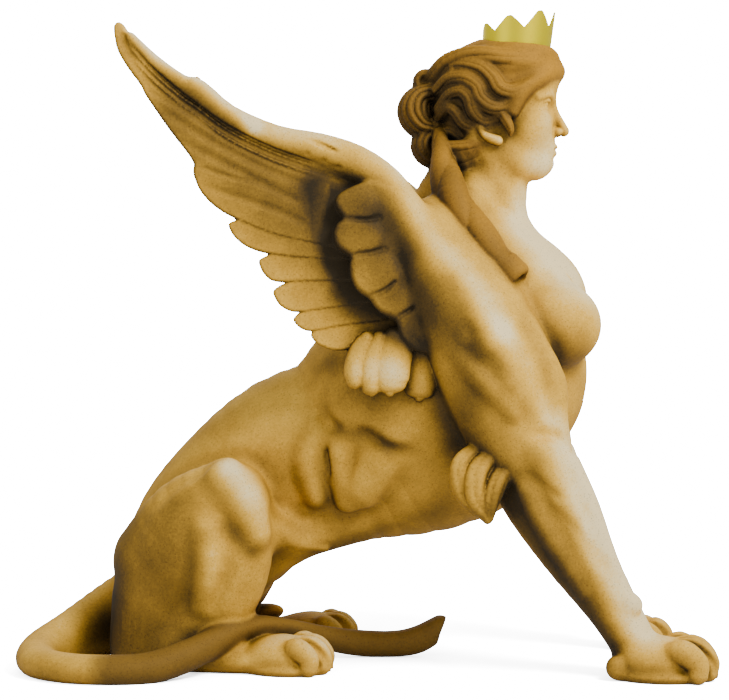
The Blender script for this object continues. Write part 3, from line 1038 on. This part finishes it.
# %% Where the stone is bleached and where it is dark
# A row is how much brighter or darker, how wide, and the line that it follows.
PATINA = [
    (0.44, 1.3, [(-32.2, 27.5, 98.8), (-29.0, 27, 95.4), (-25.2, 26, 92.4), (-22.4, 26, 91.2),
                  (-18.0, 25, 87.6), (-14.0, 24, 84.6)]),
    (0.40, 2.2, [(-14.0, 24, 83.6), (-5.0, 21, 81.8), (2.0, 18.6, 79.4), (6.0, 17.6, 76.4)]),
    (0.26, 2.0, [(6.0, 17.6, 76.4), (8.7, 19, 73.3), (12.6, 20, 67.2), (18.7, 21.5, 61.0),
                 (24.0, 22.5, 53.3)]),
    (0.16, 2.2, [(24.0, 22.5, 53.3), (29.4, 21.5, 45.7), (31.6, 20.5, 40.0)]),
    (0.24, 2.4, [(-18.6, 21, 31.4), (-16.0, 21, 28.0)]), (0.14, 2.0, [(-15.0, 21, 26.0), (-14.4, 20, 22.0)]),
    (0.40, 4.2, [(33.0, 19, 35.0), (36.0, 18.6, 26.0), (40.4, 17.6, 16.0), (45.0, 17, 8.5)]),
    (0.36, 6.0, [(28.5, 2, 78.0), (27.0, 4, 70.0), (30.0, 6, 64.0), (34.6, 7, 59.5)]),
    (0.16, 4.5, [(29.5, 3, 91.0), (29.5, 3, 84.0)]), (0.34, 0.9, [(20.4, 8, 84.4), (22.6, 7.8, 83.7)]),
    (0.22, 3.0, [(1.4, 19.5, 47.0), (6.4, 20, 47.0)]), (0.10, 2.6, [(6.4, 20, 47.0), (11.0, 20, 46.0)]),
    (0.22, 4.5, [(-13.0, 18, 3.5), (-5.0, 18, 3.5)]),
    (0.06, 3.0, [(-12.0, 22, 62.5), (-8.0, 20, 57.0), (-3.0, 19, 52.0)]),
    (-0.12, 4.0, [(-12.0, 22, 69.0), (-6.0, 20, 63.0), (0.0, 19, 57.0)]),
    (0.22, 1.6, [(-30.0, 19, 27.2), (-26.0, 19.5, 31.0)]),
    (0.16, 1.4, [(-21.0, 23, 19.0), (-21.4, 23, 14.0)]),
    (-0.28, 7.5, [(-25.0, 26, 86.0), (-14.0, 23, 78.0), (-5.0, 21, 73.0)]),
    (-0.28, 4.0, [(3.4, 21, 71.0), (6.0, 21, 63.0), (11.0, 21, 55.0)]),
    (-0.20, 5.0, [(14.0, 8, 90.0), (20.0, 8, 89.0)]), (-0.14, 3.0, [(9.0, 3, 90.0), (10.0, 3, 84.0)]),
    (-0.20, 2.4, [(0.6, 20, 75.6), (5.4, 21, 71.0), (9.0, 21.4, 65.6)]),
    (-0.50, 2.3, [(-5.2, 20.5, 75.4), (-3.8, 20.5, 72.6), (-3.0, 20.5, 68.4), (-1.4, 20, 63.6)]),
    (-0.46, 1.9, [(-1.4, 20, 63.6), (-0.4, 19.6, 59.6), (2.4, 19, 56.2), (6.0, 18.6, 53.8),
                  (11.0, 19, 50.8)]),
    (-0.22, 2.6, [(9.6, 20, 64.0), (14.0, 20.5, 57.0), (18.0, 21, 51.0), (19.6, 21, 45.0),
                  (18.6, 19, 38.0), (22.6, 20, 33.0), (25.0, 21, 29.0)]),
    (-0.30, 2.4, [(14.0, 15, 44.0), (15.4, 15, 38.0), (17.0, 16, 33.0)]),
    (-0.14, 2.4, [(-1.4, 14, 43.0), (3.4, 15, 40.6), (8.6, 15, 41.2)]),
    (-0.38, 2.8, [(25.0, 20, 26.0), (30.4, 19, 19.0), (35.4, 18, 12.0), (40.4, 17, 4.0)]),
    (-0.26, 5.0, [(-36.6, 16, 22.0), (-38.0, 16, 14.0), (-36.0, 18, 6.0)]),
    (-0.22, 4.5, [(-27.0, 20, 26.0), (-29.0, 21, 16.0), (-29.0, 21, 7.0)]),
    (-0.12, 1.8, [(-19.6, 20, 27.0), (-17.2, 20, 22.6)]),
    (-0.24, 2.6, [(-9.0, 11, 48.4), (-4.4, 12, 48.6)]),
    (-0.22, 2.6, [(-6.0, 8, 18.6), (6.0, 9, 20.0), (14.0, 10, 24.0)]),
    (-0.28, 1.7, [(-13.0, 15, 30.0), (-11.4, 14, 25.0), (-7.6, 13, 22.0)]),
    (-0.18, 1.6, [(-2.0, 14, 37.6), (4.0, 16, 35.8), (10.6, 16, 33.4)]),
    (-0.20, 1.3, [(-6.2, 13, 44.0), (-5.4, 13, 40.0)]),
    (-0.26, 3.0, [(29.0, 14, 52.0), (34.0, 11, 50.6)]),
    (-0.24, 2.0, [(26.0, 18, 51.0), (29.6, 18, 45.0)]),
    (-0.40, 3.4, [(-41.4, 8, 6.0), (-39.6, 14, 3.0), (-40.4, 16, 10.0)]),
    (-0.26, 1.6, [(-19.0, 21, 23.0), (-15.6, 20, 19.4)]),
    (-0.30, 2.4, [(-48.5, 20, 1.5), (-50.0, 14, 2.0)]),
    (-0.08, 3.0, [(18.0, 6, 80.0), (21.0, 6, 78.0), (24.0, 5, 79.0)]),
    (-0.16, 3.4, [(14.0, 11, 78.0), (17.6, 14, 70.0), (23.4, 16, 63.3)]),
    (0.07, 9.0, [(-30.0, 20, 26.0), (-10.0, 14, 36.0), (4.0, 14, 34.0)]),
    (-0.07, 5.0, [(17.0, 22, 55.0), (20.0, 22, 49.0)])]
HAIRLINE_Z_MARKS = [80.0, 82.4, 84.0, 87.2, 89.0, 90.5, 91.8, 93.5, 94.6, 95.4]
HAIRLINE_X_MARKS = [45.0, 24.8, 25.0, 26.2, 26.8, 27.8, 29.0, 31.0, 34.0, 40.0]

# %% Three stretches of stone
NECK_CUT = 77.5
NAPE_X = 9.5
WAIST_CUT = 40.0
OVERLAP = 0.9


def above_neck(x, z):
    return z - NECK_CUT - np.maximum(NAPE_X - x, 0)


def head_region(x, y, z):
    return -above_neck(x, z) + 0 * y


def wing_region(x, y, z):
    return np.maximum(above_neck(x, z) - OVERLAP, WAIST_CUT - z) + 0 * y


def leg_region(x, y, z):
    return np.maximum(z - WAIST_CUT - OVERLAP, -z) + 0 * x + 0 * y


def place(points):
    """Points in parts of the height, as metres in the frame of the solids."""
    placed = (points - np.array([MIDDLE_X, MIDDLE_Y, 0.0])) * PART
    placed[:, 2] = np.maximum(placed[:, 2], 0)
    return placed


def thinned(thing, triangles):
    """Decimates an object's mesh to a number of triangles."""
    count = sum(len(face.vertices) - 2 for face in thing.data.polygons)
    if count > triangles:
        modifier = thing.modifiers.new('Thin', 'DECIMATE')
        modifier.ratio = triangles / count
        modifier.use_collapse_triangulate = True
        graph = bpy.context.evaluated_depsgraph_get()
        mesh = bpy.data.meshes.new_from_object(thing.evaluated_get(graph))
        thing.modifiers.clear()
        thing.data = mesh
    return count


def mesh_points(mesh):
    flat = np.empty(len(mesh.vertices) * 3, np.float32)
    mesh.vertices.foreach_get('co', flat)
    return flat.reshape(-1, 3)


def keep_tint(mesh, name, values):
    layer = mesh.attributes.new(name, 'FLOAT', 'POINT')
    layer.data.foreach_set('value', np.ascontiguousarray(values, np.float32))


# %% Tints, kept as attributes of the mesh
def openness(points, normals):
    """How open the stone is round each point: 1 on a free surface, 0 in a deep hollow."""
    distances = np.array([0.5, 1.3, 3.0, 6.0])
    weights = np.array([0.25, 0.3, 0.3, 0.15])
    samples = (points[None] + normals[None] * distances[:, None, None]).reshape(-1, 3)
    clear = read_points(stone_clay, samples, slack=1.5).reshape(len(distances), -1) / distances[:, None]
    return weights @ np.clip(clear, 0, 1)


def near_line(points, line):
    """How far each point is from a line through a few places."""
    nearest = np.full(len(points), FAR, np.float32)
    for start, end in zip(line, line[1:]):
        step = end - start
        share = np.clip((points - start) @ step / (step @ step), 0, 1)
        nearest = np.minimum(nearest, np.linalg.norm(points - start - share[:, None] * step, axis=1))
    return nearest


def patina(points):
    """Where the stone was bleached, above zero, or keeps its dirt, below zero. Both sides are alike."""
    folded = np.abs(points.astype(np.float32) * (0, 1, 0)) + points.astype(np.float32) * (1, 0, 1)
    total = np.zeros(len(points), np.float32)
    for strength, width, line in PATINA:
        total += strength * np.exp(-(near_line(folded, np.array(line, np.float32)) / width) ** 2)
    return total


# %% Making the stretches
TINT_REACH = 1.4
HAIR_TINT_DEPTH = 0.22
HAIRLINE_BLUR = 0.35
TAIL_TINT_DEPTH = 0.35
TAIL_TINT_START = -38.5
TAIL_TINT_BLUR = 3.0


def stretch(name, voxel, low, high, region, triangles, step):
    """Meshes one stretch of the clay, thins it, and keeps its normals and tints."""
    times = [time.time()]
    points, triangles_found, quads = skin(stone_clay, voxel, np.array([low, high], float), region)
    mesh = bpy.data.meshes.new(name)
    mesh.from_pydata(points.tolist(), [], quads.tolist() + triangles_found.tolist())
    thing = bpy.data.objects.new(name, mesh)
    bpy.context.scene.collection.objects.link(thing)
    times.append(time.time())
    before = thinned(thing, triangles)
    times.append(time.time())
    mesh = thing.data
    mesh.name = name
    points = mesh_points(mesh).astype(float)
    normals = clay_normals(stone_clay, points, step)
    keep_tint(mesh, 'open', openness(points, normals))
    keep_tint(mesh, 'patina', patina(points))
    hairline = np.interp(points[:, 2], HAIRLINE_Z_MARKS, HAIRLINE_X_MARKS)
    behind = np.clip((hairline - points[:, 0]) / HAIRLINE_BLUR + 0.5, 0, 1)
    on_locks = np.clip(TINT_REACH - read_points(hair_clay, points) / HAIR_TINT_DEPTH, 0, 1)
    keep_tint(mesh, 'hair', behind * on_locks)
    on_tail = np.clip(TINT_REACH - read_points(tail_clay, points) / TAIL_TINT_DEPTH, 0, 1)
    keep_tint(mesh, 'tail', on_tail * np.clip((points[:, 0] - TAIL_TINT_START) / TAIL_TINT_BLUR, 0, 1))
    mesh.vertices.foreach_set('co', place(points).astype(np.float32).ravel())
    mesh.shade_smooth()
    mesh.normals_split_custom_set_from_vertices(normals.tolist())
    mesh.update()
    times.append(time.time())
    print(name, 'had', before, 'triangles and keeps', len(mesh.polygons))
    print('seconds to mesh, thin and tint:', np.diff(times).round(1).tolist())
    return thing


STRETCHES = [
    ('head_and_hair', 0.15, (4, -12, NECK_CUT - 1), (36, 12, 105), head_region, 150000, 0.05),
    ('wings_and_chest', 0.30, (-42, -34, WAIST_CUT - 1), (42, 34, 106), wing_region, 180000, 0.09),
    ('legs_and_tail', 0.30, (-56, -36, -1), (60, 34, WAIST_CUT + 1), leg_region, 170000, 0.09)]
stone_things = [stretch(*row) for row in STRETCHES]

# %% [markdown]
# ## The stone
# Ochre limestone is a dull, warm, slightly grainy stone. Rain bleaches what faces the sky and dirt
# stays in the hollows, so the colour follows three things: how open the surface is, which was read from
# the clay, which way it faces, and the table of lines along which it is paler or darker. Fine dark
# grains and broad soft clouds break it up. The hair and tail were tinted a deeper brown. The grains are
# drawn at 2 to 4 mm, coarser than real ones, so that they show at this size.

# %% Colours and grain sizes
MM = 0.001
STONE_COLOURS = ((0.0, '#2A1F06'), (0.20, '#553F0E'), (0.40, '#8C6917'), (0.58, '#C29226'), (0.74, '#EAB840'),
                 (0.88, '#F9D47E'), (1.0, '#FFE9B0'))
HAIR_COLOURS = ((0.0, '#1C1404'), (0.30, '#523C0C'), (0.60, '#946A15'), (1.0, '#D79A1C'))
TAIL_COLOURS = ((0.0, '#241A06'), (0.5, '#664B13'), (1.0, '#9C7520'))
PIT_COLOURS = ((0.0, '#FFFFFF'), (0.30, '#6E5A3A'), (0.36, '#FFFFFF'), (1.0, '#FFFFFF'))
PIT_SHARE = 0.55
WEATHER_SIDE = (0.55, -0.25, 0.80)
# Millimetres, detail and roughness of each noise.
GRAINS = {'clouds': (70, 4, 0.55), 'grain': (4.0, 3, 0.7), 'specks': (2.2, 1, 0.55)}
TONE_SUMS = [
    ('tone', 'MULTIPLY_ADD', 'open', 0.56, 'patina'),
    ('tone', 'MULTIPLY_ADD', 'sky', 0.20, 'tone'),
    ('tone', 'MULTIPLY_ADD', 'clouds', 0.34, 'tone'),
    ('tone', 'MULTIPLY_ADD', 'grain', 0.26, 'tone'),
    ('tone', 'SUBTRACT', 'tone', 0.30),
    ('relief', 'MULTIPLY', 'specks', 0.4),
    ('relief', 'MULTIPLY_ADD', 'grain', 0.6, 'relief')]


def work_out(tree, known, sums):
    """Turns sums into nodes. A row is a name, an operation and its terms: numbers or known names."""
    for name, operation, *terms in sums:
        inputs = {index: known.get(term, term) for index, term in enumerate(terms)}
        known[name] = add_node(tree, 'ShaderNodeMath', {'operation': operation}, inputs)


# %% Ochre limestone
def limestone():
    """Matt, with a low sheen, because the grain is too rough to mirror anything."""
    material, tree, shader = new_material('ochre limestone, carved', 0.72)
    shader['Specular IOR Level'].default_value = 0.28
    where = add_node(tree, 'ShaderNodeTexCoord', output='Object')
    facing = add_node(tree, 'ShaderNodeNewGeometry', output='Normal')
    known = {name: add_node(tree, 'ShaderNodeAttribute', {'attribute_name': name}, output='Fac')
             for name in ('open', 'patina', 'hair', 'tail')}
    known['sky'] = add_node(tree, 'ShaderNodeVectorMath', {'operation': 'DOT_PRODUCT'},
                            {0: facing, 1: WEATHER_SIDE}, output='Value')
    for name, (size, detail, roughness) in GRAINS.items():
        known[name] = add_node(tree, 'ShaderNodeTexNoise', inputs={
            'Vector': where, 'Scale': 1 / (size * MM), 'Detail': detail, 'Roughness': roughness})
    work_out(tree, known, TONE_SUMS)
    stone, locks, brush = (add_node(tree, 'ShaderNodeValToRGB', inputs={0: known['tone']}, stops=stops)
                           for stops in (STONE_COLOURS, HAIR_COLOURS, TAIL_COLOURS))
    pits = add_node(tree, 'ShaderNodeValToRGB', inputs={0: known['specks']}, stops=PIT_COLOURS)
    layers = ((known['hair'], locks, 'MIX'), (known['tail'], brush, 'MIX'), (PIT_SHARE, pits, 'MULTIPLY'))
    base = stone
    for share, layer, way in layers:
        base = add_node(tree, 'ShaderNodeMix', {'data_type': 'RGBA', 'blend_type': way},
                        {0: share, 6: base, 7: layer}, output=2)
    tree.links.new(base, shader['Base Color'])
    bump = add_node(tree, 'ShaderNodeBump',
                    inputs={'Strength': 0.22, 'Distance': 0.6 * MM, 'Height': known['relief']})
    tree.links.new(bump, shader['Normal'])
    return material


stone = limestone()
for thing in stone_things:
    thing.data.materials.clear()
    thing.data.materials.append(stone)
    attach(thing, 'root')
    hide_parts('sphinx')

# %% [markdown]
# ## The crown
# The crown follows one rule, so Geometry Nodes make it. A flat grid is bent into a ring: its long side
# runs round the head, and its short side runs round the wall's four corners. The top edge is a zigzag
# with blunt points, taller in front, and the wall leans out a little as it rises.

# %% A ring of blunt points
CROWN_SIZES = {'Inner radius': 0.0525, 'Wall': 0.0030, 'Front height': 0.0610, 'Back height': 0.0320,
               'Band share': 0.52, 'Flare': 0.0040, 'Bluntness': 1.18, 'Points': 7}
COLUMNS_PER_POINT = 18
WALL_CORNERS = 4
SAME_PLACE = 0.00002
CROWN_SUMS = [
    ('angle', 'MULTIPLY', 'round', 2 * math.pi),
    ('cosine', 'COSINE', 'angle'),
    ('sine', 'SINE', 'angle'),
    ('corner', 'MULTIPLY_ADD', 'up', WALL_CORNERS, WALL_CORNERS / 2),
    ('outside', 'COMPARE', 'corner', 1.5, 0.9),
    ('above', 'COMPARE', 'corner', 2.5, 0.9),
    ('forward', 'MULTIPLY_ADD', 'cosine', 0.5, 0.5),
    ('extra', 'SUBTRACT', 'Front height', 'Back height'),
    ('height', 'MULTIPLY_ADD', 'extra', 'forward', 'Back height'),
    ('zigzag', 'MULTIPLY', 'round', 'Points'),
    ('zigzag', 'FRACT', 'zigzag'),
    ('zigzag', 'MULTIPLY_ADD', 'zigzag', 2, -1),
    ('zigzag', 'ABSOLUTE', 'zigzag'),
    ('blunt', 'MULTIPLY', 'zigzag', 'Bluntness'),
    ('blunt', 'MINIMUM', 'blunt', 1),
    ('point share', 'SUBTRACT', 1, 'Band share'),
    ('share', 'MULTIPLY_ADD', 'point share', 'blunt', 'Band share'),
    ('top', 'MULTIPLY', 'height', 'share'),
    ('lean', 'DIVIDE', 'top', 'Front height'),
    ('lean', 'MULTIPLY', 'lean', 'Flare'),
    ('radius', 'MULTIPLY_ADD', 'Wall', 'outside', 'Inner radius'),
    ('radius', 'MULTIPLY_ADD', 'lean', 'above', 'radius'),
    ('X', 'MULTIPLY', 'radius', 'cosine'),
    ('Y', 'MULTIPLY', 'radius', 'sine'),
    ('Z', 'MULTIPLY', 'top', 'above')]


def crown_tree(material):
    tree = bpy.data.node_groups.new('crown of blunt points', 'GeometryNodeTree')
    for name, size in CROWN_SIZES.items():
        kind = 'NodeSocketInt' if isinstance(size, int) else 'NodeSocketFloat'
        tree.interface.new_socket(name=name, in_out='INPUT', socket_type=kind).default_value = size
    tree.interface.new_socket(name='Geometry', in_out='OUTPUT', socket_type='NodeSocketGeometry')
    known = dict(tree.nodes.new('NodeGroupInput').outputs.items())
    work_out(tree, known, [('columns', 'MULTIPLY_ADD', 'Points', COLUMNS_PER_POINT, 1)])
    grid = add_node(tree, 'GeometryNodeMeshGrid', inputs={
        'Size X': 1.0, 'Size Y': 1.0, 'Vertices X': known['columns'], 'Vertices Y': WALL_CORNERS + 1})
    where = add_node(tree, 'GeometryNodeInputPosition')
    across = add_node(tree, 'ShaderNodeSeparateXYZ', inputs={0: where})
    known.update(along=across, up=across.node.outputs['Y'])
    work_out(tree, known, [('round', 'ADD', 'along', 0.5), *CROWN_SUMS])
    bent = add_node(tree, 'ShaderNodeCombineXYZ', inputs={axis: known[axis] for axis in 'XYZ'})
    shape = add_node(tree, 'GeometryNodeSetPosition', inputs={'Geometry': grid, 'Position': bent})
    shape = add_node(tree, 'GeometryNodeMergeByDistance', inputs={'Geometry': shape, 'Distance': SAME_PLACE})
    shape = add_node(tree, 'GeometryNodeRealizeInstances', inputs={'Geometry': shape})
    shape = add_node(tree, 'GeometryNodeSetMaterial', inputs={'Geometry': shape, 'Material': material})
    tree.links.new(shape, tree.nodes.new('NodeGroupOutput').inputs['Geometry'])
    return tree


# %% Gilding
GILT_COLOURS = ((0.0, '#F0CC00'), (0.40, '#FFE900'), (1.0, '#FFF000'))
RUBBED_PATCH_MM = 12


def gilding():
    """Gilt brass with a satin face: yellow, metallic, and rubbed unevenly in patches about a finger wide."""
    material, tree, shader = new_material('gilt brass, matt', 0.42)
    where = add_node(tree, 'ShaderNodeTexCoord', output='Object')
    rubbed = add_node(tree, 'ShaderNodeTexNoise', inputs={
        'Vector': where, 'Scale': 1 / (RUBBED_PATCH_MM * MM), 'Detail': 3, 'Roughness': 0.55})
    tint = add_node(tree, 'ShaderNodeValToRGB', inputs={0: rubbed}, stops=GILT_COLOURS)
    tree.links.new(tint, shader['Base Color'])
    shader['Metallic'].default_value = 1.0
    return material


# %% Setting the crown on the hair
crown = bpy.data.objects.new('gilt_crown', bpy.data.meshes.new('gilt_crown'))
bpy.context.scene.collection.objects.link(crown)
ring_maker = crown.modifiers.new('Ring', 'NODES')
ring_maker.node_group = crown_tree(gilding())
for item in ring_maker.node_group.interface.items_tree:
    if item.in_out == 'INPUT':
        ring_maker[item.identifier] = CROWN_SIZES[item.name]
made = crown.evaluated_get(bpy.context.evaluated_depsgraph_get())
ring_mesh = bpy.data.meshes.new_from_object(made)
crown.modifiers.clear()
crown.data = ring_mesh
seat_place = Matrix.Translation(place(np.array([CROWN_SEAT]))[0].tolist())
crown.data.transform(seat_place @ Matrix.Rotation(CROWN_TILT, 4, 'Y'))
crown.data.update()
print('crown has', len(crown.data.polygons), 'faces')
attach(crown, 'root')
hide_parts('crown')
